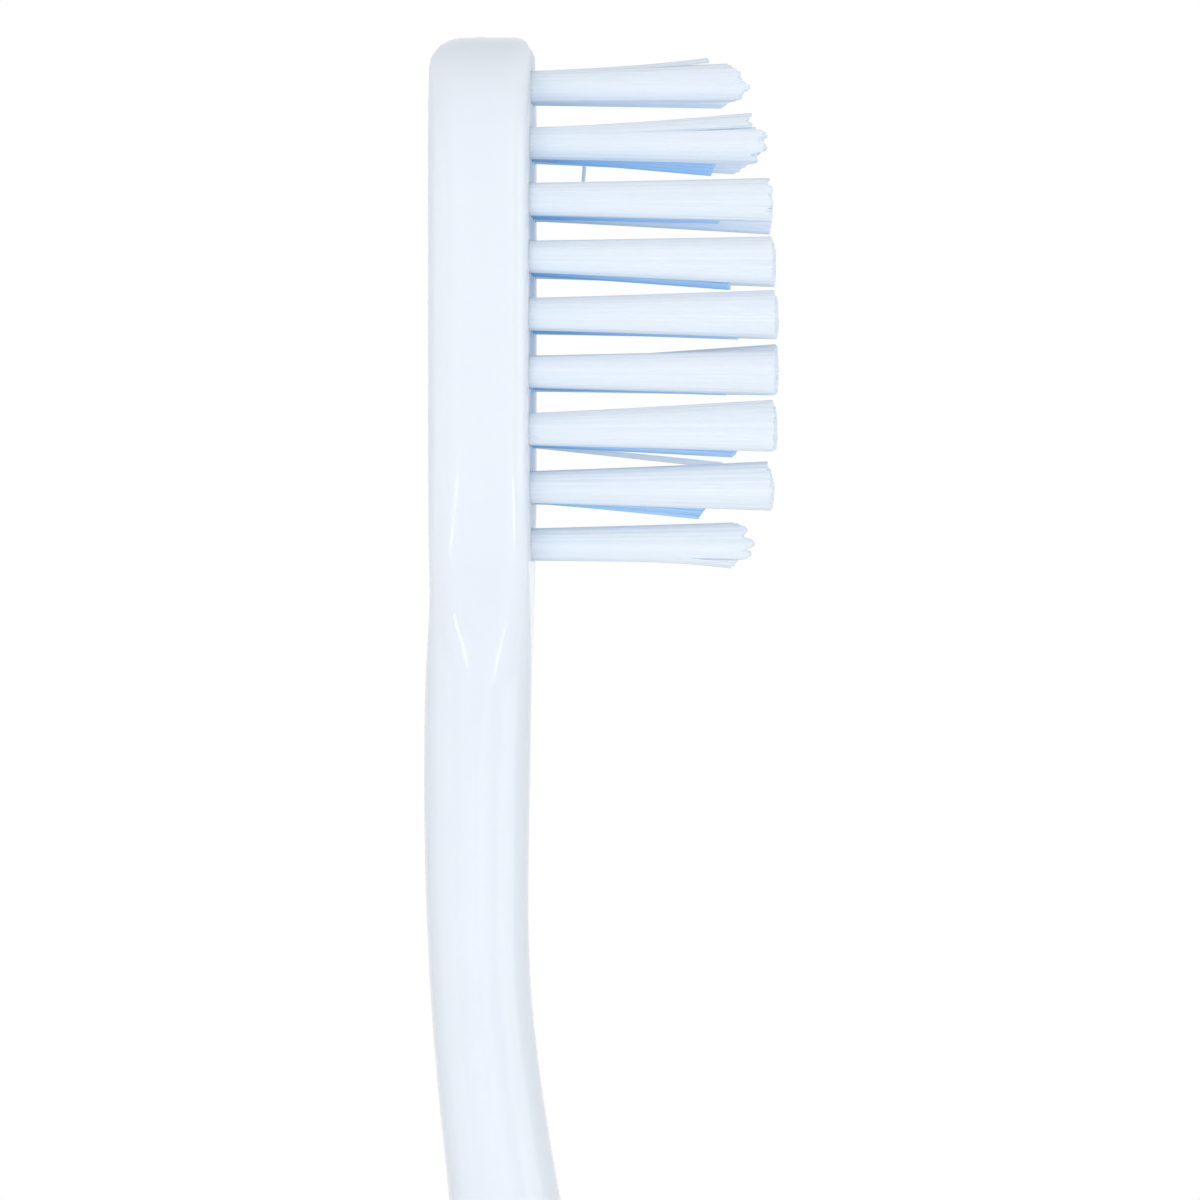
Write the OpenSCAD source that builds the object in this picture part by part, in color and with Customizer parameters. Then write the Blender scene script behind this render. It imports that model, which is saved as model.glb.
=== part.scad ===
// Manual toothbrush, standing on the end of its handle with the head up and the bristles facing +X.
// The body is one moulding. Each tuft is a bundle of bristles folded over a flat wire anchor that is
// driven into a blind hole of the head. The origin is the centre of the flat end of the handle.

/* [Overall] */
// Length of the brush, from the end of the handle to the top of the head
brush_l = 190; // [175:1:205]

/* [Tuft layout] */
// Distance between neighbouring rows of tufts, along the brush
row_pitch = 2.57; // [2.5:0.01:2.9]
// Distance between neighbouring tufts of one row
column_pitch = 2.2; // [2.1:0.05:2.5]
// Diameter of the tuft holes
hole_d = 1.6; // [1.5:0.05:1.7]
// Depth of the tuft holes below the bristle face
hole_depth = 3; // [2.6:0.1:3.4]

/* [Bristles] */
// Length of the longest white bristles above the bristle face
bristle_l = 11; // [9:0.5:13]
// Length of the longest blue bristles above the bristle face
blue_bristle_l = 9.6; // [7:0.2:10.4]
// Width of one bristle strand, corner to corner
strand_d = 0.26; // [0.2:0.01:0.27]
// Gap between the tips of neighbouring tufts
tip_gap = 0.14; // [0.1:0.02:0.5]
// How deep the strands run into the folded root of their tuft
strand_sink = 0.4; // [0.2:0.05:0.8]

/* [Anchors] */
// Thickness of the anchor plate
anchor_t = 0.3; // [0.2:0.02:0.4]
// Height of the anchor plate along the hole
anchor_h = 1.3; // [1:0.1:1.5]
// How far each end of the anchor bites into the wall of the hole
anchor_bite = 0.25; // [0.15:0.01:0.3]
// Thickness of the folded bristles under the anchor
fold_t = 0.4; // [0.3:0.05:0.6]

/* [Fits] */
// Clearance between a tuft root and its hole
hole_clearance = 0.03; // [0.02:0.005:0.05]
// Clearance round an anchor
anchor_clearance = 0.02; // [0.01:0.005:0.04]

/* [Head] */
// Thickness of the head, from its back to the bristle face
head_t = 4.5; // [4.5:0.1:5.4]
// Plastic between the outermost tuft holes and the side of the head
head_side_margin = 1.4; // [1.2:0.1:2]
// Plastic between the first tuft holes and the top of the head
head_top_margin = 1.45; // [1.2:0.05:2]
// Radius of the top corners of the head, seen from the bristle side
head_corner_r = 4.8; // [3.6:0.1:5.2]
// Radius of the edge round the bristle face
face_edge_r = 0.8; // [0.5:0.1:1.1]
// Radius of the edge round the back of the head
back_edge_r = 1.5; // [1:0.1:2]
// Width of the moulding gate's mark on top of the head
gate_d = 0.5; // [0.3:0.05:0.7]
// Height of the moulding gate's mark
gate_h = 0.06; // [0.04:0.01:0.15]
// How far the gate's mark lies behind the middle of the head
gate_setback = 0.1; // [0:0.05:0.4]

/* [Neck] */
// Length from the last tuft holes to the neck
shoulder_l = 6.3; // [5:0.1:9]
// Length of the straight upper neck
neck_l = 8.5; // [7:0.5:14]
// Width of the neck
neck_w = 5.3; // [4.6:0.1:6.5]
// Thickness of the upper neck
neck_t = 4.8; // [4.4:0.1:5.6]
// Thickness where the neck is thinnest
neck_waist_t = 4.5; // [4:0.1:5.2]
// How far the middle of the neck lies behind the middle of the handle's end
neck_setback = 4.1; // [2:0.1:7]
// How far the middle of the head lies in front of the middle of the neck
head_forward = 0.25; // [0:0.05:0.6]

/* [Handle] */
// Length of the bend between the neck and the thumb rest
bend_l = 58.5; // [50:0.5:66]
// Width of the handle at the thumb rest
thumb_w = 12.5; // [10:0.5:15]
// Thickness of the handle at the thumb rest
thumb_t = 8; // [6.5:0.5:10]
// How far the thumb rest lies in front of the handle's end
thumb_forward = 2.3; // [0:0.1:5]
// Width of the handle near its end
butt_w = 11.2; // [9:0.2:14]
// Thickness of the handle near its end
butt_t = 7; // [6:0.2:9]
// Radius of the corners of the handle's end, seen from the bristle side
butt_corner_r = 3.2; // [2.5:0.1:4]
// Radius of the edge round the handle's end, seen from the side
butt_edge_r = 2.2; // [1.5:0.1:2.6]

/* [Thumb rest] */
// Number of grip ribs
rib_count = 7; // [3:1:9]
// Distance between neighbouring grip ribs
rib_pitch = 2.6; // [2.2:0.1:3]
// Height of the grip ribs above the handle
rib_h = 0.35; // [0.2:0.05:0.5]
// Radius of the section of a grip rib
rib_r = 0.9; // [0.7:0.05:1]
// Radius of the arc that a grip rib follows round the handle
rib_arc_r = 9; // [8:0.5:11]

/* [Hidden] */
// Tufts in each row, counted from the top of the head
row_tufts = [2, 3, 4, 4, 4, 4, 4, 3, 2];
// Strands in the middle and in the two rings of a tuft
ring_strands = [1, 5, 8];
strand_sides = 4;
// Half of the arc that a grip rib spans
rib_half_angle = 30;
// Steps of the moulding's surface
steps_per_station = 2;
steps_per_corner = 5;
steps_per_end = 7;
hole_sides = 24;
rib_sides = 16;

// Shares of the bristle lengths, row by row
white_length_shares = [0.89, 0.97, 0.99, 0.99, 1, 1, 0.995, 0.985, 0.91];
blue_length_shares = [0, 0.88, 0.88, 0.94, 0.97, 0.92, 1, 0.86, 0];
// How much shorter the outermost strands of a tuft are, and how uneven, as shares of its length
white_dome_shares = [0.13, 0.11, 0.01, 0.005, 0.005, 0.005, 0.005, 0.02, 0.07];
white_ragged_shares = [0.04, 0.05, 0.012, 0.006, 0.006, 0.006, 0.006, 0.015, 0.05];
blue_ragged_share = 0.012;

// Stations of the handle: places between its end and the thumb rest, and how far the section there
// has changed from that of the end to that of the thumb rest
handle_place_shares = [0, 0.08, 0.19, 0.33, 0.48, 0.63, 0.77, 0.89];
handle_forward_shares = [0, 0.01, 0.1, 0.3, 0.56, 0.8, 0.95, 1];
handle_depth_shares = [0, 0, -0.05, -0.12, -0.08, 0.15, 0.5, 0.85];
handle_width_shares = [0, 0, 0.15, 0.2, 0.1, 0.1, 0.35, 0.75];
// Stations of the bend: the same, from the thumb rest to the thinnest neck
bend_place_shares = [0, 0.15, 0.29, 0.42, 0.54, 0.65, 0.75, 0.845, 0.925];
bend_back_shares = [0, 0.055, 0.157, 0.305, 0.477, 0.642, 0.787, 0.908, 0.981];
bend_depth_shares = [0, 0.03, 0.143, 0.314, 0.5, 0.686, 0.849, 0.949, 1];
bend_width_shares = [0, 0.04, 0.18, 0.375, 0.583, 0.764, 0.89, 0.958, 0.986];
bend_corner_shares = [0, 0.02, 0.08, 0.2, 0.4, 0.6, 0.78, 0.9, 1];
// Stations of the neck and shoulder: places along each, and how far the section has changed
neck_place_shares = [0, 0.53];
neck_depth_shares = [0.4, 1];
shoulder_place_shares = [0, 0.3, 0.55, 0.78];
shoulder_forward_shares = [0.2, 0.5, 0.8, 1];
shoulder_depth_shares = [0, 0.2, 0.6, 1];
shoulder_width_shares = [0, 0.04, 0.14, 0.34];
shoulder_corner_shares = [0.05, 0.3, 0.6, 0.85];
// Stations of the head
head_place_shares = [0, 0.1, 0.2, 0.31, 0.5, 0.75, 1];
head_width_shares = [0.6, 0.81, 0.95, 1, 1, 1, 1];
// Share of the half section that the rounded corners take: front depth, front width, back depth, back width
handle_corner_shares = [0.9, 0.7, 0.94, 0.86];
neck_corner_shares = [0.94, 0.94, 0.94, 0.94];

hole_r = hole_d / 2;
strand_r = strand_d / 2;
columns = max(row_tufts);
rows = len(row_tufts);
head_w = (columns - 1) * column_pitch + hole_d + 2 * head_side_margin;
first_row_z = brush_l - head_top_margin - hole_r;
face_end_z = first_row_z - (rows - 1) * row_pitch - hole_r;
neck_top_z = face_end_z - shoulder_l;
bend_top_z = neck_top_z - neck_l;
thumb_z = bend_top_z - bend_l;
head_rounding_z = brush_l - head_corner_r;
neck_x = -neck_setback;
head_x = neck_x + head_forward;
face_x = head_x + head_t / 2;
root_r = hole_r - hole_clearance;
pack_r = root_r - hole_clearance - strand_r;
tip_reach_y = column_pitch / 2 - tip_gap / 2 - strand_r;
tip_reach_z = row_pitch / 2 - tip_gap / 2 - strand_r;
anchor_w = hole_d + 2 * anchor_bite;
anchor_floor = hole_depth - fold_t;
rib_top_z = thumb_z + rib_pitch * (rib_count - 1) / 2;
head_edge_shares = [
    face_edge_r / (head_t / 2), face_edge_r / (head_w / 2),
    back_edge_r / (head_t / 2), back_edge_r / (head_w / 2)
];
body_colour = [0.92, 0.95, 0.98];
white_colour = [0.93, 0.96, 0.99];
blue_colour = [0.55, 0.75, 0.97];
anchor_colour = [0.8, 0.68, 0.36];

// Names of the tufts in a row of two, three or four, from -Y to +Y
function side_names(count) =
    count == 2 ? ["left", "right"] :
    count == 3 ? ["left", "middle", "right"] :
    ["outer_left", "inner_left", "inner_right", "outer_right"];
function tuft_name(row, column) =
    str("tuft_row", row + 1, "_", side_names(row_tufts[row])[column]);
function anchors_name(row) = str("anchors_row", row + 1);

// Middle of a tuft hole on the bristle face
function tuft_place(row, column) =
    [face_x, (column - (row_tufts[row] - 1) / 2) * column_pitch, first_row_z - row * row_pitch];
// A tuft with a neighbour on both sides is blue
function is_blue(row, column) = column > 0 && column < row_tufts[row] - 1;

function mix(a, b, share) = a + (b - a) * share;
function mix_all(a, b, share) = [for (i = [0:len(a) - 1]) mix(a[i], b[i], share)];

// A station of the moulding: height, middle of the section along X, half thickness, half width, corners
function station(z, x, t, w, corners) = concat([z, x, t / 2, w / 2], corners);

handle_stations = [for (i = [0:len(handle_place_shares) - 1]) station(
    mix(butt_corner_r, thumb_z, handle_place_shares[i]),
    thumb_forward * handle_forward_shares[i],
    mix(butt_t, thumb_t, handle_depth_shares[i]),
    mix(butt_w, thumb_w, handle_width_shares[i]),
    handle_corner_shares
)];
bend_stations = [for (i = [0:len(bend_place_shares) - 1]) station(
    mix(thumb_z, bend_top_z, bend_place_shares[i]),
    mix(thumb_forward, neck_x, bend_back_shares[i]),
    mix(thumb_t, neck_waist_t, bend_depth_shares[i]),
    mix(thumb_w, neck_w, bend_width_shares[i]),
    mix_all(handle_corner_shares, neck_corner_shares, bend_corner_shares[i])
)];
neck_stations = [for (i = [0:len(neck_place_shares) - 1]) station(
    mix(bend_top_z, neck_top_z, neck_place_shares[i]),
    neck_x,
    mix(neck_waist_t, neck_t, neck_depth_shares[i]),
    neck_w,
    neck_corner_shares
)];
shoulder_stations = [for (i = [0:len(shoulder_place_shares) - 1]) station(
    mix(neck_top_z, face_end_z, shoulder_place_shares[i]),
    mix(neck_x, head_x, shoulder_forward_shares[i]),
    mix(neck_t, head_t, shoulder_depth_shares[i]),
    mix(neck_w, head_w, shoulder_width_shares[i]),
    mix_all(neck_corner_shares, head_edge_shares, shoulder_corner_shares[i])
)];
head_stations = [for (i = [0:len(head_place_shares) - 1]) station(
    mix(face_end_z, head_rounding_z, head_place_shares[i]),
    head_x,
    head_t,
    mix(neck_w, head_w, head_width_shares[i]),
    head_edge_shares
)];
stations = concat(handle_stations, bend_stations, neck_stations, shoulder_stations, head_stations);
last_station = len(stations) - 1;

// Control row of the spline, with one row mirrored past each end so that the spline starts on the first
function control(i) =
    i < 0 ? 2 * stations[0] - stations[1] :
    i > last_station ? 2 * stations[last_station] - stations[last_station - 1] :
    stations[i];
// Section at a place on the cubic B-spline of the stations, from 0 to last_station
function spline_at(u) = let (i = min(floor(u), last_station - 1), f = u - i) (
    pow(1 - f, 3) * control(i - 1)
    + (3 * pow(f, 3) - 6 * pow(f, 2) + 4) * control(i)
    + (-3 * pow(f, 3) + 3 * pow(f, 2) + 3 * f + 1) * control(i + 1)
    + pow(f, 3) * control(i + 2)
) / 6;
// Place on the spline at a height, by halving
function place_at(z, low = 0, high = last_station, halvings = 24) =
    let (middle = (low + high) / 2)
    halvings == 0 ? middle :
    spline_at(middle)[0] < z ? place_at(z, middle, high, halvings - 1) :
    place_at(z, low, middle, halvings - 1);

// How far a rounded edge of radius r stands back at a depth below its end
function inset(depth, r) = depth < r ? r - sqrt(pow(r, 2) - pow(r - depth, 2)) : 0;
// A station of a rounded end: the section s, set back in front, at the back and at the sides
function end_station(s, z, front, back, side) =
    concat([z, s[1] - (front - back) / 2, s[2] - (front + back) / 2, s[3] - side], [for (i = [4:7]) s[i]]);

end_depth_shares = [for (i = [0:steps_per_end]) pow(i / (steps_per_end + 1), 2)];
butt_ends = [for (share = end_depth_shares) let (depth = butt_corner_r * share) end_station(
    stations[0], depth, inset(depth, butt_edge_r), inset(depth, butt_edge_r), inset(depth, butt_corner_r)
)];
head_ends = [for (i = [steps_per_end:-1:0]) let (depth = head_corner_r * end_depth_shares[i]) end_station(
    stations[last_station], brush_l - depth,
    inset(depth, face_edge_r), inset(depth, back_edge_r), inset(depth, head_corner_r)
)];
spline_stations = [for (i = [0:last_station * steps_per_station]) spline_at(i / steps_per_station)];

// One rounded corner of a section: its signs along X and Y, its shares and its first angle
function corner(s, sign_x, sign_y, depth_share, width_share, angle) = [
    for (i = [0:steps_per_corner]) let (a = angle + 90 * i / steps_per_corner) [
        s[1] + s[2] * (sign_x * (1 - depth_share) + depth_share * cos(a)),
        s[3] * (sign_y * (1 - width_share) + width_share * sin(a)),
        s[0]
    ]
];
function section(s) = concat(
    corner(s, 1, 1, s[4], s[5], 0),
    corner(s, -1, 1, s[6], s[7], 90),
    corner(s, -1, -1, s[6], s[7], 180),
    corner(s, 1, -1, s[4], s[5], 270)
);

module moulding() {
    rings = [for (s = concat(butt_ends, spline_stations, head_ends)) section(s)];
    count = len(rings[0]);
    points = [for (ring = rings) for (p = ring) p];
    walls = [for (k = [0:len(rings) - 2]) for (i = [0:count - 1]) let (
        a = k * count + i,
        b = k * count + (i + 1) % count
    ) each [[a, b + count, b], [a, a + count, b + count]]];
    bottom = [for (i = [0:count - 1]) i];
    top = [for (i = [count - 1:-1:0]) (len(rings) - 1) * count + i];
    polyhedron(points = points, faces = concat([bottom], walls, [top]));
}

// A grip rib: an arc that sinks into the handle at both ends
module rib(z) {
    s = spline_at(place_at(z));
    translate([s[1] + s[2] + rib_h - rib_r - rib_arc_r, 0, z])
        rotate([0, 0, -rib_half_angle])
            rotate_extrude(angle = 2 * rib_half_angle, $fn = 2 * rib_sides)
                translate([rib_arc_r, 0])
                    circle(r = rib_r, $fn = rib_sides);
}

module anchor(row, column, margin = 0) {
    p = tuft_place(row, column);
    translate([p[0] - anchor_floor - margin, p[1] - anchor_t / 2 - margin, p[2] - anchor_w / 2 - margin])
        cube([anchor_h + 2 * margin, anchor_t + 2 * margin, anchor_w + 2 * margin]);
}

module tuft_hole(row, column) {
    translate(tuft_place(row, column) - [hole_depth, 0, 0])
        rotate([0, 90, 0])
            cylinder(r = hole_r, h = 2 * hole_depth, $fn = hole_sides);
}

module brush_body() {
    color(body_colour) union() {
        difference() {
            moulding();
            for (row = [0:rows - 1]) for (column = [0:row_tufts[row] - 1]) union() {
                tuft_hole(row, column);
                anchor(row, column, anchor_clearance);
            }
        }
        translate([head_x - gate_setback, 0, brush_l - gate_h])
            cylinder(d = gate_d, h = 2 * gate_h, $fn = hole_sides);
        for (i = [0:rib_count - 1]) rib(rib_top_z - i * rib_pitch);
    }
}

// Places of the strands in a tuft, as shares of its radius
strand_spots = [for (ring = [0:len(ring_strands) - 1]) for (i = [0:ring_strands[ring] - 1]) let (
    a = 360 * (i + ring / 4) / ring_strands[ring]
) ring / (len(ring_strands) - 1) * [cos(a), sin(a)]];

// Lengths of the strands of a tuft, uneven but the same at each build
function strand_lengths(row, column) =
    let (
        blue = is_blue(row, column),
        whole = blue ? blue_bristle_l * blue_length_shares[row] : bristle_l * white_length_shares[row],
        dome = blue ? 0 : white_dome_shares[row],
        ragged = blue ? blue_ragged_share : white_ragged_shares[row],
        scatter = rands(0, 1, len(strand_spots), column + columns * row)
    )
    [for (i = [0:len(strand_spots) - 1])
        whole * (1 - dome * pow(norm(strand_spots[i]), 2) - ragged * scatter[i])];

// The strands of a tuft as one polyhedron, in the frame of the tuft hole's mouth
module strands(row, column) {
    lengths = strand_lengths(row, column);
    points = [for (i = [0:len(strand_spots) - 1]) for (tip = [0, 1]) for (k = [0:strand_sides - 1]) let (
        share = tip * (lengths[i] / bristle_l),
        a = 360 * (k + 0.5) / strand_sides
    ) [
        tip == 1 ? lengths[i] : -strand_sink,
        mix(pack_r, tip_reach_y, share) * strand_spots[i][0] + strand_r * cos(a),
        mix(pack_r, tip_reach_z, share) * strand_spots[i][1] + strand_r * sin(a)
    ]];
    faces = [for (i = [0:len(strand_spots) - 1]) let (
        root = 2 * strand_sides * i,
        tip = root + strand_sides
    ) each concat(
        [for (k = [0:strand_sides - 1]) let (next = (k + 1) % strand_sides)
            each [[root + k, tip + k, tip + next], [root + k, tip + next, root + next]]],
        [for (k = [1:strand_sides - 2]) [root, root + k, root + k + 1]],
        [for (k = [1:strand_sides - 2]) [tip, tip + k + 1, tip + k]]
    )];
    polyhedron(points = points, faces = faces);
}

// A tuft: its folded root, which fills the hole round the anchor, and its strands
module tuft(row, column) {
    color(is_blue(row, column) ? blue_colour : white_colour) union() {
        difference() {
            translate(tuft_place(row, column) - [hole_depth - hole_clearance, 0, 0])
                rotate([0, 90, 0])
                    cylinder(r = root_r, h = hole_depth - 2 * hole_clearance, $fn = hole_sides);
            anchor(row, column, anchor_clearance);
        }
        translate(tuft_place(row, column)) strands(row, column);
    }
}

module anchors(row) {
    color(anchor_colour)
        for (column = [0:row_tufts[row] - 1]) anchor(row, column);
}

brush_body();
for (row = [0:rows - 1]) for (column = [0:row_tufts[row] - 1])
    tuft(row, column);
for (row = [0:rows - 1])
    anchors(row);
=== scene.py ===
"""The looks of a manual toothbrush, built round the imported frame.

Lengths are in millimetres, as in the construction model, and MM turns them into metres.
"""

import math
import random

import bmesh
import bpy
import numpy as np
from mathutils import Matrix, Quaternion, Vector


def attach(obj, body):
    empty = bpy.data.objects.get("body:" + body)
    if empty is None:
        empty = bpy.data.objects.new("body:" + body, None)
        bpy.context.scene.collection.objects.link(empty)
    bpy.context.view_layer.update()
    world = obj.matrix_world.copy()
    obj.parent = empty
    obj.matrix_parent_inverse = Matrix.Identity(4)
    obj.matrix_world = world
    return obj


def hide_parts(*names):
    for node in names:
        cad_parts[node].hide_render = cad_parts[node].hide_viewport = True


MM = 0.001
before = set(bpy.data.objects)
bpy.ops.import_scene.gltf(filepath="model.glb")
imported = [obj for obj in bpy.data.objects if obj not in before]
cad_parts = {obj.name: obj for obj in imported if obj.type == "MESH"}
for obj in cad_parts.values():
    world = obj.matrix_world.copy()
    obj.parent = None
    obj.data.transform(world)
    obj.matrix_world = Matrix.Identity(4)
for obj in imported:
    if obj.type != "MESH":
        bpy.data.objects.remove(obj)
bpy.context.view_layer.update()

# Sizes of the construction model
BRUSH_L = 190.0
ROW_PITCH = 2.57
COLUMN_PITCH = 2.2
HOLE_R = 0.8
HOLE_DEPTH = 3.0
HOLE_CLEARANCE = 0.03
BRISTLE_L = 11.0
BLUE_BRISTLE_L = 9.6
ANCHOR_T = 0.3
ANCHOR_FLOOR = 2.6
ANCHOR_H = 1.3
ANCHOR_W = 2.1
ANCHOR_CLEARANCE = 0.02
HEAD_T = 4.5
HEAD_SIDE_MARGIN = 1.4
HEAD_TOP_MARGIN = 1.45
HEAD_CORNER_R = 4.8
FACE_EDGE_R = 0.8
BACK_EDGE_R = 1.5
GATE_D = 0.5
GATE_H = 0.06
GATE_SETBACK = 0.1
SHOULDER_L = 6.3
NECK_L = 8.5
NECK_W = 5.3
NECK_T = 4.8
NECK_WAIST_T = 4.5
NECK_SETBACK = 4.1
HEAD_FORWARD = 0.25
BEND_L = 58.5
THUMB_W = 12.5
THUMB_T = 8.0
THUMB_FORWARD = 2.3
BUTT_W = 11.2
BUTT_T = 7.0
BUTT_CORNER_R = 3.2
BUTT_EDGE_R = 2.2
RIB_COUNT = 7
RIB_PITCH = 2.6
RIB_H = 0.35
RIB_R = 0.9
RIB_ARC_R = 9.0
RIB_FILLET = 0.12

ROW_TUFTS = [2, 3, 4, 4, 4, 4, 4, 3, 2]
SIDE_NAMES = {
    2: ["left", "right"],
    3: ["left", "middle", "right"],
    4: ["outer_left", "inner_left", "inner_right", "outer_right"],
}

# Shares of the bristle lengths, row by row: of the white tufts, of the blue ones, and of the furthest white
# tufts against the nearest
WHITE_LENGTH_SHARES = [0.89, 0.97, 0.99, 0.99, 1, 1, 0.995, 0.985, 0.91]
BLUE_LENGTH_SHARES = [0, 0.88, 0.88, 0.94, 0.97, 0.92, 1, 0.86, 0]
FAR_LENGTH_SHARES = [0.96, 0.965, 0.985, 1, 1, 1, 1, 1, 0.945]

# Stations of the moulding, as shares of the sizes that they follow
HANDLE_PLACE_SHARES = [0, 0.08, 0.19, 0.33, 0.48, 0.63, 0.77, 0.89]
HANDLE_FORWARD_SHARES = [0, 0.01, 0.1, 0.3, 0.56, 0.8, 0.95, 1]
HANDLE_DEPTH_SHARES = [0, 0, -0.05, -0.12, -0.08, 0.15, 0.5, 0.85]
HANDLE_WIDTH_SHARES = [0, 0, 0.15, 0.2, 0.1, 0.1, 0.35, 0.75]
BEND_PLACE_SHARES = [0, 0.15, 0.29, 0.42, 0.54, 0.65, 0.75, 0.845, 0.925]
BEND_BACK_SHARES = [0, 0.055, 0.157, 0.305, 0.477, 0.642, 0.787, 0.908, 0.981]
BEND_DEPTH_SHARES = [0, 0.03, 0.143, 0.314, 0.5, 0.686, 0.849, 0.949, 1]
BEND_WIDTH_SHARES = [0, 0.04, 0.18, 0.375, 0.583, 0.764, 0.89, 0.958, 0.986]
BEND_CORNER_SHARES = [0, 0.02, 0.08, 0.2, 0.4, 0.6, 0.78, 0.9, 1]
NECK_PLACE_SHARES = [0, 0.53]
NECK_DEPTH_SHARES = [0.4, 1]
SHOULDER_PLACE_SHARES = [0, 0.3, 0.55, 0.78]
SHOULDER_FORWARD_SHARES = [0.2, 0.5, 0.8, 1]
SHOULDER_DEPTH_SHARES = [0, 0.2, 0.6, 1]
SHOULDER_WIDTH_SHARES = [0, 0.04, 0.14, 0.34]
SHOULDER_CORNER_SHARES = [0.05, 0.3, 0.6, 0.85]
HEAD_PLACE_SHARES = [0, 0.1, 0.2, 0.31, 0.5, 0.75, 1]
HEAD_WIDTH_SHARES = [0.6, 0.81, 0.95, 1, 1, 1, 1]
HANDLE_CORNER_SHARES = [0.9, 0.7, 0.94, 0.86]
NECK_CORNER_SHARES = [0.94, 0.94, 0.94, 0.94]

# Fineness of the visible moulding
STEPS_PER_STATION = 8
STEPS_PER_CORNER = 12
STEPS_PER_FLAT = 6
STEPS_PER_END = 16
RIB_RING_SPACING = 0.12
HOLE_SIDES = 40
SHARP_ANGLE = math.radians(40)
# How close another ring may come to those of the ribs, as a share of the way between two stations
RING_GAP = 0.02
# How far a rib may lie below the surface and still lift it a little, in fillet radii
FILLET_REACH = 3
# How often the way along the stations is halved to find a height
HALVINGS = 40

HEAD_W = (max(ROW_TUFTS) - 1) * COLUMN_PITCH + 2 * HOLE_R + 2 * HEAD_SIDE_MARGIN
FIRST_ROW_Z = BRUSH_L - HEAD_TOP_MARGIN - HOLE_R
FACE_END_Z = FIRST_ROW_Z - (len(ROW_TUFTS) - 1) * ROW_PITCH - HOLE_R
NECK_TOP_Z = FACE_END_Z - SHOULDER_L
BEND_TOP_Z = NECK_TOP_Z - NECK_L
THUMB_Z = BEND_TOP_Z - BEND_L
HEAD_ROUNDING_Z = BRUSH_L - HEAD_CORNER_R
NECK_X = -NECK_SETBACK
HEAD_X = NECK_X + HEAD_FORWARD
FACE_X = HEAD_X + HEAD_T / 2
HEAD_EDGE_SHARES = [
    FACE_EDGE_R / (HEAD_T / 2), FACE_EDGE_R / (HEAD_W / 2),
    BACK_EDGE_R / (HEAD_T / 2), BACK_EDGE_R / (HEAD_W / 2),
]


def mix(a, b, share):
    return a + (b - a) * share


def tuft_names(row):
    return [f"tuft_row{row + 1}_{side}" for side in SIDE_NAMES[ROW_TUFTS[row]]]


def tuft_place(row, column):
    """The middle of a tuft hole on the bristle face."""
    y = (column - (ROW_TUFTS[row] - 1) / 2) * COLUMN_PITCH
    return np.array([FACE_X, y, FIRST_ROW_Z - row * ROW_PITCH])


def is_blue(row, column):
    return 0 < column < ROW_TUFTS[row] - 1


def mesh_object(name, points, faces):
    """A new object from points in millimetres."""
    mesh = bpy.data.meshes.new(name)
    mesh.from_pydata((np.asarray(points) * MM).tolist(), [], faces)
    mesh.validate()
    obj = bpy.data.objects.new(name, mesh)
    bpy.context.scene.collection.objects.link(obj)
    return obj


def shade(obj):
    """Smooth shading with sharp edges where two faces meet at a clear angle."""
    edit = bmesh.new()
    edit.from_mesh(obj.data)
    bmesh.ops.recalc_face_normals(edit, faces=edit.faces)
    for face in edit.faces:
        face.smooth = True
    for edge in edit.edges:
        edge.smooth = not (edge.is_manifold and edge.calc_face_angle(0) > SHARP_ANGLE)
    edit.to_mesh(obj.data)
    edit.free()


# Body

def station(z, x, t, w, corners):
    """Height, middle along X, half thickness, half width, and the shares that the corners take."""
    return np.array([z, x, t / 2, w / 2, *corners], float)


def stations():
    """The same stations as in the construction model, from the handle's end to the head."""
    handle_corners = np.array(HANDLE_CORNER_SHARES)
    neck_corners = np.array(NECK_CORNER_SHARES)
    head_corners = np.array(HEAD_EDGE_SHARES)
    rows = []
    for place, forward, depth, width in zip(
        HANDLE_PLACE_SHARES, HANDLE_FORWARD_SHARES, HANDLE_DEPTH_SHARES, HANDLE_WIDTH_SHARES
    ):
        rows.append(station(
            mix(BUTT_CORNER_R, THUMB_Z, place), THUMB_FORWARD * forward,
            mix(BUTT_T, THUMB_T, depth), mix(BUTT_W, THUMB_W, width), handle_corners,
        ))
    for place, back, depth, width, corner in zip(
        BEND_PLACE_SHARES, BEND_BACK_SHARES, BEND_DEPTH_SHARES, BEND_WIDTH_SHARES, BEND_CORNER_SHARES
    ):
        rows.append(station(
            mix(THUMB_Z, BEND_TOP_Z, place), mix(THUMB_FORWARD, NECK_X, back),
            mix(THUMB_T, NECK_WAIST_T, depth), mix(THUMB_W, NECK_W, width),
            mix(handle_corners, neck_corners, corner),
        ))
    for place, depth in zip(NECK_PLACE_SHARES, NECK_DEPTH_SHARES):
        rows.append(station(
            mix(BEND_TOP_Z, NECK_TOP_Z, place), NECK_X,
            mix(NECK_WAIST_T, NECK_T, depth), NECK_W, neck_corners,
        ))
    for place, forward, depth, width, corner in zip(
        SHOULDER_PLACE_SHARES, SHOULDER_FORWARD_SHARES, SHOULDER_DEPTH_SHARES,
        SHOULDER_WIDTH_SHARES, SHOULDER_CORNER_SHARES
    ):
        rows.append(station(
            mix(NECK_TOP_Z, FACE_END_Z, place), mix(NECK_X, HEAD_X, forward),
            mix(NECK_T, HEAD_T, depth), mix(NECK_W, HEAD_W, width), mix(neck_corners, head_corners, corner),
        ))
    for place, width in zip(HEAD_PLACE_SHARES, HEAD_WIDTH_SHARES):
        rows.append(station(
            mix(FACE_END_Z, HEAD_ROUNDING_Z, place), HEAD_X,
            HEAD_T, mix(NECK_W, HEAD_W, width), head_corners,
        ))
    return rows


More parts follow.
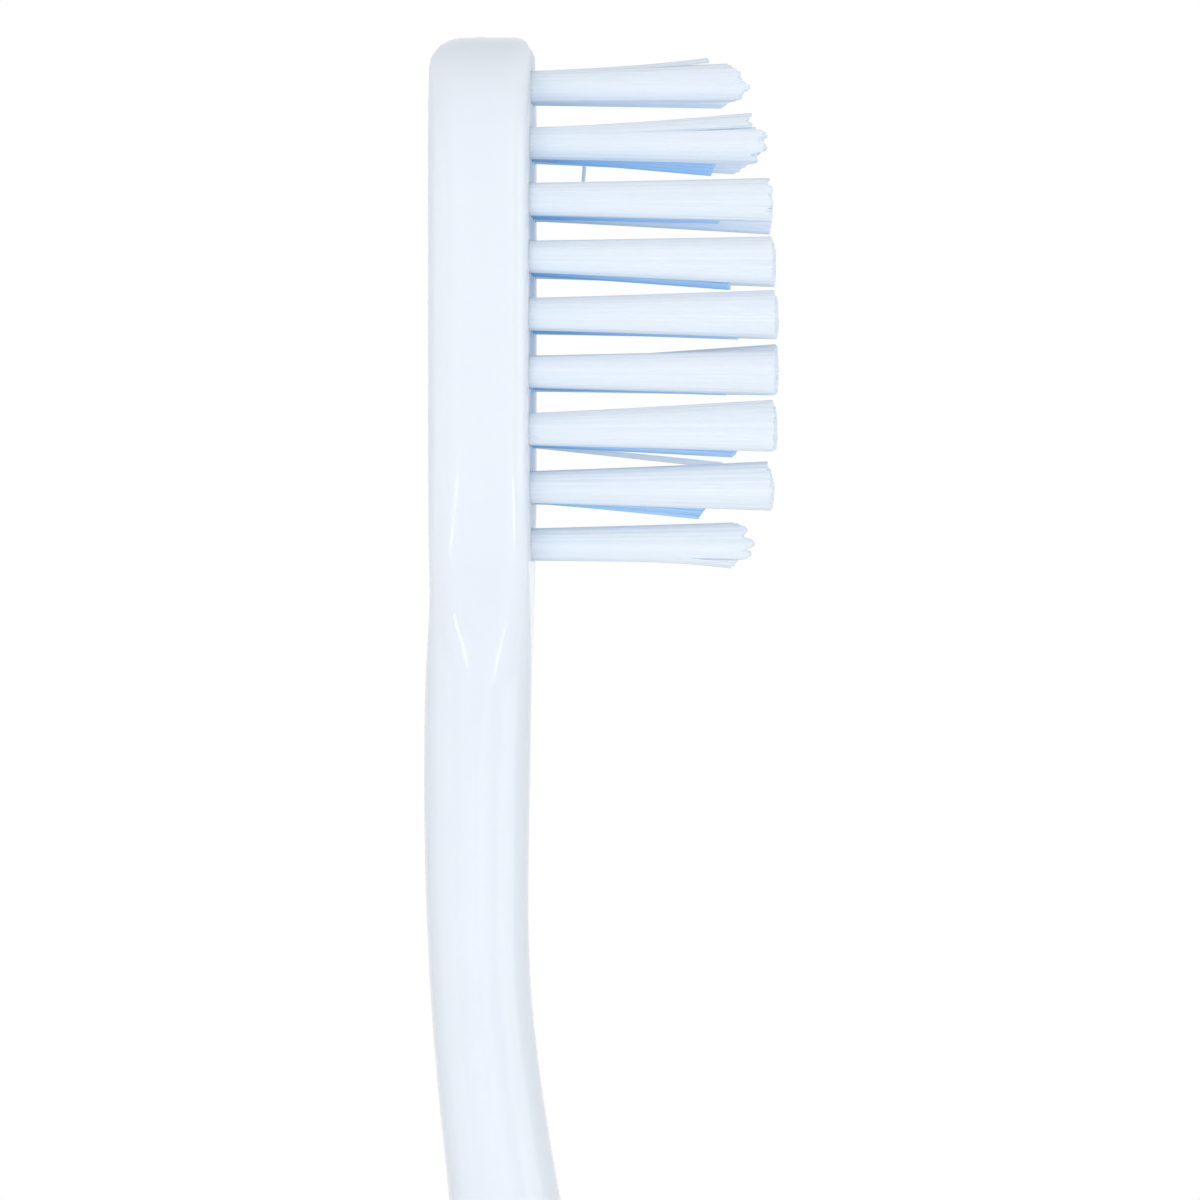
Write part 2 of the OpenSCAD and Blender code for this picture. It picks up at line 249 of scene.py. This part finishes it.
def spline_at(controls, place):
    """The cubic B-spline of the stations, which starts on the first and ends on the last."""
    i = min(int(place), len(controls) - 4)
    f = place - i
    return (
        (1 - f) ** 3 * controls[i]
        + (3 * f ** 3 - 6 * f ** 2 + 4) * controls[i + 1]
        + (-3 * f ** 3 + 3 * f ** 2 + 3 * f + 1) * controls[i + 2]
        + f ** 3 * controls[i + 3]
    ) / 6


def place_at(controls, z):
    """The place on the spline at a height, found by halving."""
    low = 0.0
    high = len(controls) - 3.0
    for _ in range(HALVINGS):
        middle = (low + high) / 2
        if spline_at(controls, middle)[0] < z:
            low = middle
        else:
            high = middle
    return low


def inset(depth, r):
    """How far a rounded edge of radius r stands back at a depth below its end."""
    return r - math.sqrt(r ** 2 - (r - depth) ** 2) if depth < r else 0.0


def end_station(s, z, front, back, side):
    """A station at another height, set in at its front, back and sides."""
    return np.array([z, s[1] - (front - back) / 2, s[2] - (front + back) / 2, s[3] - side, *s[4:]])


def section(s):
    """The points of one section: four rounded corners and the flats between them."""
    points = []
    corners = [(1, 1, s[4], s[5]), (-1, 1, s[6], s[7]), (-1, -1, s[6], s[7]), (1, -1, s[4], s[5])]
    for quarter, (sign_x, sign_y, depth_share, width_share) in enumerate(corners):
        for step in range(STEPS_PER_CORNER + 1):
            a = math.radians(90) * (quarter + step / STEPS_PER_CORNER)
            points.append([
                s[1] + s[2] * (sign_x * (1 - depth_share) + depth_share * math.cos(a)),
                s[3] * (sign_y * (1 - width_share) + width_share * math.sin(a)),
                s[0],
            ])
    points = np.array(points)
    ring = []
    for k in range(len(corners)):
        arc = points[k * (STEPS_PER_CORNER + 1):(k + 1) * (STEPS_PER_CORNER + 1)]
        after = points[(k + 1) * (STEPS_PER_CORNER + 1) % len(points)]
        flat = [mix(arc[-1], after, step / STEPS_PER_FLAT) for step in range(1, STEPS_PER_FLAT)]
        ring.extend([*arc, *flat])
    return np.array(ring)


def raise_ribs(ring, controls):
    """Lifts the front of a section to the grip ribs, with a fillet at their feet."""
    z = ring[0][2]
    for i in range(RIB_COUNT):
        rib_z = THUMB_Z + RIB_PITCH * (i - (RIB_COUNT - 1) / 2)
        if abs(z - rib_z) >= RIB_R:
            continue
        s = spline_at(controls, place_at(controls, rib_z))
        middle = s[1] + s[2] + RIB_H - RIB_R - RIB_ARC_R
        reach = RIB_ARC_R + math.sqrt(RIB_R ** 2 - (z - rib_z) ** 2)
        for p in ring:
            if p[0] > s[1] and abs(p[1]) < reach:
                crest = middle + math.sqrt(reach ** 2 - p[1] ** 2)
                lift = (crest - p[0] + math.hypot(crest - p[0], RIB_FILLET)) / 2
                p[0] += lift if crest > p[0] - FILLET_REACH * RIB_FILLET else 0
    return ring


def moulding():
    """The outer shape of the body, without its holes."""
    rows = stations()
    controls = [2 * rows[0] - rows[1], *rows, 2 * rows[-1] - rows[-2]]
    last = len(rows) - 1
    places = [i / STEPS_PER_STATION for i in range(last * STEPS_PER_STATION + 1)]
    half_zone = RIB_PITCH * (RIB_COUNT - 1) / 2 + 2 * RIB_R
    rib_zone = np.arange(THUMB_Z - half_zone, THUMB_Z + half_zone, RIB_RING_SPACING)
    zone_places = [place_at(controls, z) for z in rib_zone]
    places = [p for p in places if not zone_places[0] - RING_GAP < p < zone_places[-1] + RING_GAP]
    sections = [spline_at(controls, p) for p in sorted(places + zone_places)]
    shares = [(i / (STEPS_PER_END + 1)) ** 2 for i in range(STEPS_PER_END + 1)]
    butt = [
        end_station(rows[0], BUTT_CORNER_R * share, inset(BUTT_CORNER_R * share, BUTT_EDGE_R),
                    inset(BUTT_CORNER_R * share, BUTT_EDGE_R), inset(BUTT_CORNER_R * share, BUTT_CORNER_R))
        for share in shares
    ]
    head = [
        end_station(rows[-1], BRUSH_L - HEAD_CORNER_R * share, inset(HEAD_CORNER_R * share, FACE_EDGE_R),
                    inset(HEAD_CORNER_R * share, BACK_EDGE_R), inset(HEAD_CORNER_R * share, HEAD_CORNER_R))
        for share in reversed(shares)
    ]
    rings = [raise_ribs(section(s), controls) for s in [*butt, *sections, *head]]
    count = len(rings[0])
    faces = [list(range(count))[::-1]]
    for k in range(len(rings) - 1):
        for i in range(count):
            a = k * count + i
            b = k * count + (i + 1) % count
            faces.append([a, b, b + count, a + count])
    faces.append([(len(rings) - 1) * count + i for i in range(count)])
    return mesh_object("body", np.concatenate(rings), faces)


def cylinder(points, faces, base, axis, r, height, sides):
    """Adds a closed cylinder from base along axis, which is 0 for X or 2 for Z."""
    first = len(points)
    across = [(axis + 1) % 3, (axis + 2) % 3]
    for level in (0, height):
        for i in range(sides):
            p = np.array(base, float)
            p[axis] += level
            p[across[0]] += r * math.cos(math.tau * i / sides)
            p[across[1]] += r * math.sin(math.tau * i / sides)
            points.append(p)
    faces.append([first + i for i in range(sides)][::-1])
    faces.append([first + sides + i for i in range(sides)])
    for i in range(sides):
        j = (i + 1) % sides
        faces.append([first + i, first + j, first + sides + j, first + sides + i])


def cuboid(points, faces, low, high):
    """Adds a box between two corners."""
    first = len(points)
    for k in range(8):
        points.append(np.array([(high if k >> axis & 1 else low)[axis] for axis in range(3)], float))
    for side in ([0, 2, 3, 1], [4, 5, 7, 6], [0, 1, 5, 4], [2, 6, 7, 3], [0, 4, 6, 2], [1, 3, 7, 5]):
        faces.append([first + i for i in side])


def combine(obj, name, points, faces, operation):
    """Cuts the new closed shapes from obj, or joins them to it."""
    tool = mesh_object(name, points, faces)
    modifier = obj.modifiers.new(name, "BOOLEAN")
    modifier.object = tool
    modifier.operation = operation
    modifier.solver = "EXACT"
    depsgraph = bpy.context.evaluated_depsgraph_get()
    result = bpy.data.meshes.new_from_object(obj.evaluated_get(depsgraph))
    obj.modifiers.clear()
    obj.data = result
    bpy.data.objects.remove(tool)


def make_body():
    """The body: the moulding with its tuft holes, the slots for the anchors and the gate mark."""
    body = moulding()
    every = [(row, column) for row, count in enumerate(ROW_TUFTS) for column in range(count)]

    points, faces = [], []
    for row, column in every:
        base = tuft_place(row, column) - [HOLE_DEPTH, 0, 0]
        cylinder(points, faces, base, 0, HOLE_R, 2 * HOLE_DEPTH, HOLE_SIDES)
    combine(body, "holes", points, faces, "DIFFERENCE")

    points, faces = [], []
    for row, column in every:
        p = tuft_place(row, column)
        half = np.array([0, ANCHOR_T / 2 + ANCHOR_CLEARANCE, ANCHOR_W / 2 + ANCHOR_CLEARANCE])
        low = p - half - [ANCHOR_FLOOR + ANCHOR_CLEARANCE, 0, 0]
        high = p + half - [ANCHOR_FLOOR - ANCHOR_H - ANCHOR_CLEARANCE, 0, 0]
        cuboid(points, faces, low, high)
    combine(body, "anchor_slots", points, faces, "DIFFERENCE")

    points, faces = [], []
    base = [HEAD_X - GATE_SETBACK, 0, BRUSH_L - GATE_H]
    cylinder(points, faces, base, 2, GATE_D / 2, 2 * GATE_H, HOLE_SIDES)
    combine(body, "gate_mark", points, faces, "UNION")

    shade(body)
    normals = body.modifiers.new("even_flats", "WEIGHTED_NORMAL")
    normals.keep_sharp = True
    return body


# Tufts

FILAMENT_D = 0.19
FILAMENTS = 160
FILAMENT_SIDES = 6
ROOT_R = 0.75
PACK_R = ROOT_R - FILAMENT_D / 2
GOLDEN_ANGLE = math.pi * (3 - math.sqrt(5))
SEEDS_PER_ROW = 100
# The dome on a filament's tip, in shares of the radius: its ring's size and height, and its top's height
DOME_RING_SHARE = 0.7
DOME_RING_HEIGHT_SHARE = 0.5
DOME_HEIGHT_SHARE = 0.65
# How much the sides of the filaments are shaded as the side of their whole tuft
WHITE_TUFT_SHADE = 0.9
BLUE_TUFT_SHADE = 0.0
# Down to the first of these shares of a hole's depth the filaments lie together, and from the second on they
# lie apart, beside the anchor
TOGETHER_SHARE = 0.3
APART_SHARE = 0.42
# Where the rings of a filament lie: as shares of the hole's depth, then of the length above it
SUNK_SHARES = [0.97, 0.8, APART_SHARE, TOGETHER_SHARE, 0]
RISEN_SHARES = [0.12, 0.28, 0.46, 0.64, 0.82, 1]
# How a tuft opens: 1 is a straight cone, and above 1 it widens faster towards its tip
OPENING_POWER = 1.12
# The length over which the painted shade at the root fades out
ROOT_SHADE_L = 5.5

# How far a tuft's tip reaches above and below its hole's middle, row by row: the tufts nearest the
# camera, the furthest white tufts and the blue ones
NEAR_REACHES = [
    (1.13, 0.70), (1.0, 1.0), (0.96, 1.07), (0.92, 1.36), (1.07, 1.12), (1.0, 1.09), (1.34, 1.03),
    (1.17, 1.08), (1.02, 0.84),
]
FAR_REACHES = [
    (1.05, 0.89), (1.0, 1.25), (1.0, 1.37), (1.0, 1.15), (1.1, 1.0), (1.46, 0.92), (1.2, 0.95),
    (1.05, 1.0), (1.0, 0.85),
]
BLUE_REACHES = [
    None, (0.65, 1.43), (0.95, 0.95), (0.75, 1.4), (0.95, 1.05), (0.95, 1.0), (0.85, 1.21),
    (0.6, 1.47), None,
]
WIDTH_REACH = 0.98
# How much shorter the top and bottom filaments of a tip are, and how uneven all of them are, as shares of the
# length
NEAR_DOMES = [
    (0.085, 0.05), (0.03, 0.05), (0.008, 0.004), (0.006, 0.004), (0.004, 0.003), (0.004, 0.006),
    (0.004, 0.004), (0.02, 0.006), (0.05, 0.03),
]
FAR_DOMES = [
    (0.085, 0.1), (0.03, 0.12), (0.008, 0.01), (0.006, 0.004), (0.004, 0.003), (0.004, 0.006),
    (0.004, 0.004), (0.02, 0.006), (0.05, 0.03),
]
BLUE_DOMES = [None, (0, 0.05), (0, 0.01), (0, 0.02), (0, 0.01), (0, 0.01), (0, 0.06), (0, 0.1), None]
NEAR_RAGGED = [0.02, 0.022, 0.009, 0.003, 0.003, 0.004, 0.004, 0.006, 0.012]
FAR_RAGGED = 0.01
BLUE_RAGGED = 0.006
# The outline of a tuft's domed tip: 1 is straight slopes, 2 is round
DOME_POWER = 1.25
# How far a tip strays sideways and up or down
SCATTER_Y = 0.03
SCATTER_Z = 0.02
# How deep the notches are between the clumps of a near tuft's tip, and how many clumps lie between the tuft's
# middle and its edge
NEAR_NOTCHES = [0.018, 0.03, 0.018, 0.002, 0.002, 0.003, 0.003, 0.008, 0.04]
CLUMPS = 1.5
# Filaments that part from their tuft: the side they are on (1 up, -1 down), the share of the radius beyond
# which they lie, how much further they reach at the tip, how late they turn away, and their share of the
# tuft's length
PARTED = {
    (0, 0): (1, 0.93, 0.2, 3.0, 0.91),
    (1, 0): (1, 0.55, 0.42, 1.6, 0.965),
    (6, 3): (-1, 0.9, 0.74, 1.0, 0.78),
    (8, 0): (-1, 0.8, 0.28, 4.0, 0.965),
}
NONE_PARTED = (1, 1, 0, 1, 1)
# A filament that was bent over: its tuft and its place there, how far out it bends, the bend's radius, and
# how far it drops and leans back from there
BENT_TUFT = (1, 2)
BENT_SPOT = (0.0, -0.3)
BENT_OUT = 2.3
BENT_R = 0.3
BENT_DROP = 2.2
BENT_LEAN = 0.15
BENT_STEPS = 6


def tube(points, normals, faces, path, r, sides):
    """Adds a closed round tube along a path, with a domed far end."""
    path = np.asarray(path, float)
    ways = np.gradient(path, axis=0)
    ways /= np.linalg.norm(ways, axis=1)[:, None]
    up = np.cross(ways, [0.0, -1.0, 0.0])
    up /= np.linalg.norm(up, axis=1)[:, None]
    side = np.cross(ways, up)
    angles = np.arange(sides) * math.tau / sides
    around = np.cos(angles)[None, :, None] * side[:, None, :] + np.sin(angles)[None, :, None] * up[:, None, :]
    first = len(points)
    dome_ring = path[-1] + r * (DOME_RING_HEIGHT_SHARE * ways[-1] + DOME_RING_SHARE * around[-1])
    rings = [*(path[:, None, :] + r * around), dome_ring]
    points.extend(np.concatenate(rings))
    points.append(path[-1] + DOME_HEIGHT_SHARE * r * ways[-1])
    normals.extend(np.concatenate([*around, around[-1] + ways[-1]]))
    normals.append(ways[-1])
    for k in range(len(rings) - 1):
        for i in range(sides):
            a = first + k * sides + i
            b = first + k * sides + (i + 1) % sides
            faces.append([a, a + sides, b + sides, b])
    tip = first + len(rings) * sides
    for i in range(sides):
        faces.append([tip - sides + i, tip, tip - sides + (i + 1) % sides])
    faces.append([first + i for i in range(sides)])


def sunk_path(place, spot):
    """The part of a filament in its hole, from beside the anchor up to the face."""
    gap = ANCHOR_T / 2 + ANCHOR_CLEARANCE + FILAMENT_D / 2
    together = spot[0] * PACK_R
    apart = math.copysign(gap + abs(spot[0]) * (PACK_R - gap), spot[0])
    path = []
    for share in SUNK_SHARES:
        depth = share * (HOLE_DEPTH - HOLE_CLEARANCE)
        beside = min(1.0, max(0.0, (share - TOGETHER_SHARE) / (APART_SHARE - TOGETHER_SHARE)))
        path.append(place + [-depth, mix(together, apart, beside), spot[1] * PACK_R])
    return path


def filament_path(place, spot, length, tip, astray, turning):
    """A filament that leaves its hole and opens in a slight curve to its tip. It can go astray by a height at
    its tip, and the greater turning is, the later it does.
    """
    path = sunk_path(place, spot)
    for share in RISEN_SHARES:
        opened = share ** OPENING_POWER
        path.append(place + [
            share * length,
            mix(spot[0] * PACK_R, tip[0], opened),
            mix(spot[1] * PACK_R, tip[1], opened) + astray * share ** turning,
        ])
    return path


def bent_path(place):
    """A filament that turns down out of its tuft towards the next row."""
    path = sunk_path(place, BENT_SPOT)
    start = path[-1] + [BENT_OUT - BENT_R, 0, 0]
    path.append((path[-1] + start) / 2)
    for step in range(BENT_STEPS + 1):
        a = math.radians(90) * step / BENT_STEPS
        path.append(start + [BENT_R * math.sin(a), 0, -BENT_R * (1 - math.cos(a))])
    path.append(path[-1] - [BENT_LEAN, 0, BENT_DROP - BENT_R])
    return path


def tuft_habit(row, column):
    """Length, reaches, domes, unevenness and notches of a tuft."""
    white = BRISTLE_L * WHITE_LENGTH_SHARES[row]
    if is_blue(row, column):
        return BLUE_BRISTLE_L * BLUE_LENGTH_SHARES[row], BLUE_REACHES[row], BLUE_DOMES[row], BLUE_RAGGED, 0
    if column == 0:
        return white, NEAR_REACHES[row], NEAR_DOMES[row], NEAR_RAGGED[row], NEAR_NOTCHES[row]
    return white * FAR_LENGTH_SHARES[row], FAR_REACHES[row], FAR_DOMES[row], FAR_RAGGED, 0


def make_tuft(row, column, name):
    """A tuft as one object of separate filaments, which the golden angle spreads evenly over its round."""
    draw = random.Random(SEEDS_PER_ROW * row + column)
    place = tuft_place(row, column)
    whole, reaches, domes, ragged, notches = tuft_habit(row, column)
    side, beyond, further, turning, shortened = PARTED.get((row, column), NONE_PARTED)
    turn = draw.uniform(0, math.tau)
    tuft_shade = BLUE_TUFT_SHADE if is_blue(row, column) else WHITE_TUFT_SHADE
    points, normals, faces = [], [], []
    for i in range(FILAMENTS):
        out = math.sqrt((i + 0.5) / FILAMENTS)
        angle = i * GOLDEN_ANGLE + turn
        spot = (out * math.cos(angle), out * math.sin(angle))
        reach = reaches[0] if spot[1] > 0 else reaches[1]
        dome = domes[0] if spot[1] > 0 else domes[1]
        uneven = dome * abs(spot[1]) ** DOME_POWER + ragged * draw.random()
        uneven += notches * (0.5 + 0.5 * math.sin(math.tau * CLUMPS * spot[1] + turn))
        length = whole * (1 - uneven)
        parted = side * spot[1] > beyond
        if parted:
            length *= shortened
        tip = (
            spot[0] * (WIDTH_REACH - FILAMENT_D / 2) + draw.uniform(-SCATTER_Y, SCATTER_Y),
            spot[1] * (reach - FILAMENT_D / 2) + draw.uniform(-SCATTER_Z, SCATTER_Z),
        )
        first = len(points)
        path = filament_path(place, spot, length, tip, further * spot[1] if parted else 0, turning)
        tube(points, normals, faces, path, FILAMENT_D / 2, FILAMENT_SIDES)
        # Light scatters through the whole bundle, so a filament's sides are shaded partly as the tuft's
        for k in range(first, len(points) - FILAMENT_SIDES - 1):
            normals[k] = normals[k] + tuft_shade * np.array([0, *spot])
    if (row, column) == BENT_TUFT:
        tube(points, normals, faces, bent_path(place), FILAMENT_D / 2, FILAMENT_SIDES)
    tuft = mesh_object(f"{name}_filaments", points, faces)
    tuft.data.shade_smooth()
    tuft.data.normals_split_custom_set_from_vertices([Vector(n).normalized() for n in normals])
    # Nylon lets light through to the filaments behind, so a tuft doesn't block the lamps
    tuft.visible_shadow = False
    return tuft


# Materials

NOISE_DETAIL = 3.0
# The part of the noise's range over which a value changes
NOISE_LOW = 0.35
NOISE_HIGH = 0.65


def new_material(name):
    material = bpy.data.materials.new(name)
    material.use_nodes = True
    return material, material.node_tree, material.node_tree.nodes["Principled BSDF"]


def add_node(tree, kind, *values, operation=None, clamp=False):
    """A new node, whose first inputs are set to the values or linked to the sockets given."""
    node = tree.nodes.new(kind)
    if operation:
        node.operation = operation
    if clamp:
        node.use_clamp = True
    for socket, value in zip(node.inputs, values):
        if isinstance(value, bpy.types.NodeSocket):
            tree.links.new(value, socket)
        else:
            socket.default_value = value
    return node


def colour_ramp(tree, share, low, high, start=0.0, end=1.0):
    """The colour that goes from low to high as share goes from start to end."""
    node = add_node(tree, "ShaderNodeValToRGB", share)
    for element, position, colour in zip(node.color_ramp.elements, (start, end), (low, high)):
        element.position = position
        element.color = (*colour, 1)
    return node.outputs["Color"]


def varied(tree, socket, scale, low, high):
    """Drives a socket with noise between two numbers or colours."""
    if not isinstance(low, tuple):
        low, high = (low,) * 3, (high,) * 3
    place = add_node(tree, "ShaderNodeTexCoord")
    noise = add_node(tree, "ShaderNodeTexNoise", place.outputs["Object"])
    noise.inputs["Scale"].default_value = scale
    noise.inputs["Detail"].default_value = NOISE_DETAIL
    tree.links.new(colour_ramp(tree, noise.outputs["Fac"], low, high, NOISE_LOW, NOISE_HIGH), socket)
    return noise


def body_plastic(name, smoothest, roughest):
    """The plastic of the moulding, which scatters light a little way under its skin."""
    material, tree, shader = new_material(name)
    varied(tree, shader.inputs["Base Color"], scale=90, low=(0.73, 0.78, 0.835), high=(0.75, 0.798, 0.853))
    noise = varied(tree, shader.inputs["Roughness"], scale=220, low=smoothest, high=roughest)
    bump = add_node(tree, "ShaderNodeBump")
    bump.inputs["Strength"].default_value = 0.02
    bump.inputs["Distance"].default_value = 0.2 * MM
    tree.links.new(noise.outputs["Fac"], bump.inputs["Height"])
    tree.links.new(bump.outputs["Normal"], shader.inputs["Normal"])
    shader.inputs["Subsurface Weight"].default_value = 0.4
    shader.inputs["Subsurface Radius"].default_value = (0.7, 0.85, 1.0)
    shader.inputs["Subsurface Scale"].default_value = 1.5 * MM
    shader.inputs["IOR"].default_value = 1.5
    return material


def nylon(name, dark, light, root, sheen, sheen_weight):
    """Bristle nylon. Each filament has a tone of its own between dark and light, and its translucent edges
    catch light. root is painted shade: it darkens and tints the colour near the face, between the tufts, and
    fades out towards the tips.
    """
    material, tree, shader = new_material(name)
    geometry = add_node(tree, "ShaderNodeNewGeometry")
    tone = colour_ramp(tree, geometry.outputs["Random Per Island"], dark, light)
    place = add_node(tree, "ShaderNodeTexCoord")
    split = add_node(tree, "ShaderNodeSeparateXYZ", place.outputs["Object"])
    # Painted shade: root darkens the colour at the face, where the tufts shade each other, and fades out
    # towards the tips
    along = add_node(tree, "ShaderNodeMapRange", split.outputs["X"], FACE_X * MM, (FACE_X + ROOT_SHADE_L) * MM)
    depth = colour_ramp(tree, along.outputs["Result"], root, (1, 1, 1))
    colour = add_node(tree, "ShaderNodeVectorMath", tone, depth, operation="MULTIPLY")
    tree.links.new(colour.outputs["Vector"], shader.inputs["Base Color"])
    varied(tree, shader.inputs["Roughness"], scale=700, low=0.45, high=0.55)
    shader.inputs["IOR"].default_value = 1.4
    shader.inputs["Sheen Weight"].default_value = sheen_weight
    shader.inputs["Sheen Roughness"].default_value = 0.6
    shader.inputs["Sheen Tint"].default_value = (*sheen, 1)
    return material


def anchor_metal():
    """The brass of the wire anchors."""
    material, tree, shader = new_material("anchor_metal")
    varied(tree, shader.inputs["Base Color"], scale=900, low=(0.62, 0.46, 0.18), high=(0.74, 0.57, 0.26))
    varied(tree, shader.inputs["Roughness"], scale=1500, low=0.28, high=0.42)
    shader.inputs["Metallic"].default_value = 1.0
    return material


body_material = body_plastic("body_plastic", smoothest=0.1, roughest=0.15)
face_material = body_plastic("matte_face_plastic", smoothest=0.5, roughest=0.6)
# Each root colour is painted shade, which darkens the nylon near the face, between the tufts
white_material = nylon(
    "white_nylon", dark=(0.762, 0.825, 0.895), light=(0.797, 0.85, 0.92), root=(0.97, 0.985, 1.0),
    sheen=(0.75, 0.88, 1.0), sheen_weight=0.5,
)
blue_material = nylon(
    "blue_nylon", dark=(0.44, 0.66, 0.91), light=(0.50, 0.71, 0.94), root=(0.53, 0.84, 0.98),
    sheen=(0.4, 0.75, 1.0), sheen_weight=0.6,
)
metal_material = anchor_metal()

# How square to X the polygons of the matte bristle face lie, and how near to its plane
FACE_SQUARENESS = 0.99
FACE_NEARNESS = 0.08


def dress(piece, materials, node):
    """Gives a piece its materials and body, and lets it stand for its node."""
    piece.data.materials.clear()
    for material in materials:
        piece.data.materials.append(material)
    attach(piece, "root")
    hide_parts(node)


body = make_body()
dress(body, [body_material, face_material], "brush_body")
for polygon in body.data.polygons:
    x, _, z = polygon.center / MM
    on_face = polygon.normal.x > FACE_SQUARENESS and abs(x - FACE_X) < FACE_NEARNESS
    polygon.material_index = int(on_face and z > FACE_END_Z)
for row in range(len(ROW_TUFTS)):
    for column, name in enumerate(tuft_names(row)):
        tuft = make_tuft(row, column, name)
        if is_blue(row, column):
            dress(tuft, [blue_material], name)
        else:
            dress(tuft, [white_material], name)
    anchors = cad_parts[f"anchors_row{row + 1}"]
    for slot in anchors.material_slots:
        slot.material = metal_material


# Stage: a pale floor that turns into the white background away from the object

FLOOR_R = 4000.0
FLOOR_SIDES = 64
FADE_START_R = 50.0
FADE_END_R = 300.0
BACKGROUND = (1, 1, 1, 1)


def make_floor():
    """The floor. Far out it is white to all but diffuse rays. The renderer samples that white as a lamp too,
    so that it throws a little light on the brush.
    """
    turns = [math.tau * i / FLOOR_SIDES for i in range(FLOOR_SIDES)]
    points = [(FLOOR_R * math.cos(a), FLOOR_R * math.sin(a), 0) for a in turns]
    floor = mesh_object("floor", points, [list(range(FLOOR_SIDES))])
    material, tree, shader = new_material("floor")
    varied(tree, shader.inputs["Base Color"], scale=3, low=(0.86, 0.87, 0.88), high=(0.88, 0.89, 0.9))
    shader.inputs["Roughness"].default_value = 0.7
    place = add_node(tree, "ShaderNodeTexCoord")
    distance = add_node(tree, "ShaderNodeVectorMath", place.outputs["Object"], operation="LENGTH")
    fade = add_node(tree, "ShaderNodeMapRange", distance.outputs["Value"], FADE_START_R * MM, FADE_END_R * MM)
    fade.interpolation_type = "SMOOTHSTEP"
    ray = add_node(tree, "ShaderNodeLightPath")
    seen = add_node(tree, "ShaderNodeMath", 1, ray.outputs["Is Diffuse Ray"], operation="SUBTRACT")
    share = add_node(tree, "ShaderNodeMath", fade.outputs["Result"], seen.outputs[0], operation="MULTIPLY")
    backdrop = add_node(tree, "ShaderNodeEmission", BACKGROUND)
    blend = add_node(tree, "ShaderNodeMixShader", share.outputs[0], shader.outputs[0], backdrop.outputs[0])
    tree.links.new(blend.outputs[0], tree.nodes["Material Output"].inputs["Surface"])
    floor.data.materials.append(material)
    return floor


floor = make_floor()

# Light: a pale sky, soft fills from in front, behind and above, a panel on either side, and two low strips
# that lean apart downwards and show as lines along the edges of the head's shoulder

LIT_PLACE = Vector((0.0, 0.0, 165.0)) * MM
SKY_COLOUR = (0.97, 0.985, 1, 1)
SKY_LEVEL = 0.572


def lamp(name, azimuth, height, distance, width, length, level, roll=0):
    """A soft box aimed at the head. azimuth is 0 on the camera's side and 90 on the bristles' side, level is
    the brightness that it gives a white surface facing it, and roll turns the box about its aim, in degrees.
    """
    light = bpy.data.lights.new(name, "AREA")
    light.shape = "RECTANGLE"
    light.size = width * MM
    light.size_y = length * MM
    angle = math.radians(azimuth)
    away = Vector((distance * math.sin(angle), -distance * math.cos(angle), height)) * MM
    light.energy = level * math.pi ** 2 * away.length_squared
    obj = bpy.data.objects.new(name, light)
    obj.location = LIT_PLACE + away
    aim = (-away).to_track_quat("-Z", "Y")
    obj.rotation_euler = (aim @ Quaternion((0, 0, 1), math.radians(roll))).to_euler()
    obj.visible_camera = False
    bpy.context.scene.collection.objects.link(obj)
    return obj


# The fills don't show in the gloss
for fill in (
    lamp("front_fill", azimuth=0, height=40, distance=500, width=500, length=180, level=0.3),
    lamp("back_fill", azimuth=180, height=30, distance=550, width=500, length=300, level=0.1),
    lamp("top_fill", azimuth=0, height=450, distance=80, width=400, length=300, level=0.16),
):
    fill.visible_glossy = False
lamp("back_side_panel", azimuth=-75, height=0, distance=600, width=500, length=300, level=0.07)
lamp("bristle_side_panel", azimuth=75, height=0, distance=600, width=500, length=300, level=0.13)
lamp("back_edge_light", azimuth=-24, height=-100, distance=220, width=18, length=150, level=0.068, roll=-50)
lamp("face_edge_light", azimuth=22, height=-100, distance=220, width=24, length=100, level=0.072, roll=12)

world = bpy.data.worlds.new("studio")
bpy.context.scene.world = world
world.use_nodes = True
studio = world.node_tree
studio.nodes.clear()
sky = add_node(studio, "ShaderNodeBackground", SKY_COLOUR, SKY_LEVEL)
white = add_node(studio, "ShaderNodeBackground", BACKGROUND, 1)
ray = add_node(studio, "ShaderNodeLightPath").outputs
mirrored = ray["Is Glossy Ray"]
seen = add_node(studio, "ShaderNodeMath", ray["Is Camera Ray"], mirrored, operation="ADD")
shows_white = add_node(
    studio, "ShaderNodeMath", seen.outputs[0], ray["Is Transmission Ray"], operation="ADD", clamp=True
)
choice = add_node(studio, "ShaderNodeMixShader", shows_white.outputs[0], sky.outputs[0], white.outputs[0])
add_node(studio, "ShaderNodeOutputWorld", choice.outputs[0])

# Camera: at the photograph's angle, a little to the bristles' side of square and a little from below

FRAME_W = 54.05
PICTURE_CENTRE = Vector((1.45, 0.0, 164.7))
CAMERA_DISTANCE = 420.0
CAMERA_YAW = math.radians(2.0)
CAMERA_PITCH = math.radians(0.2)
SENSOR_W = 36.0
CLIP_START = 10.0
CLIP_END = 20000.0

camera_data = bpy.data.cameras.new("camera")
camera_data.sensor_width = SENSOR_W
camera_data.lens = SENSOR_W * CAMERA_DISTANCE / FRAME_W
camera_data.clip_start = CLIP_START * MM
camera_data.clip_end = CLIP_END * MM
camera = bpy.data.objects.new("camera", camera_data)
flat = math.cos(CAMERA_PITCH)
back = Vector((flat * math.sin(CAMERA_YAW), -flat * math.cos(CAMERA_YAW), -math.sin(CAMERA_PITCH)))
camera.location = (PICTURE_CENTRE + CAMERA_DISTANCE * back) * MM
camera.rotation_euler = (-back).to_track_quat("-Z", "Y").to_euler()
bpy.context.scene.collection.objects.link(camera)
bpy.context.scene.camera = camera
bpy.context.scene.view_settings.view_transform = "Standard"
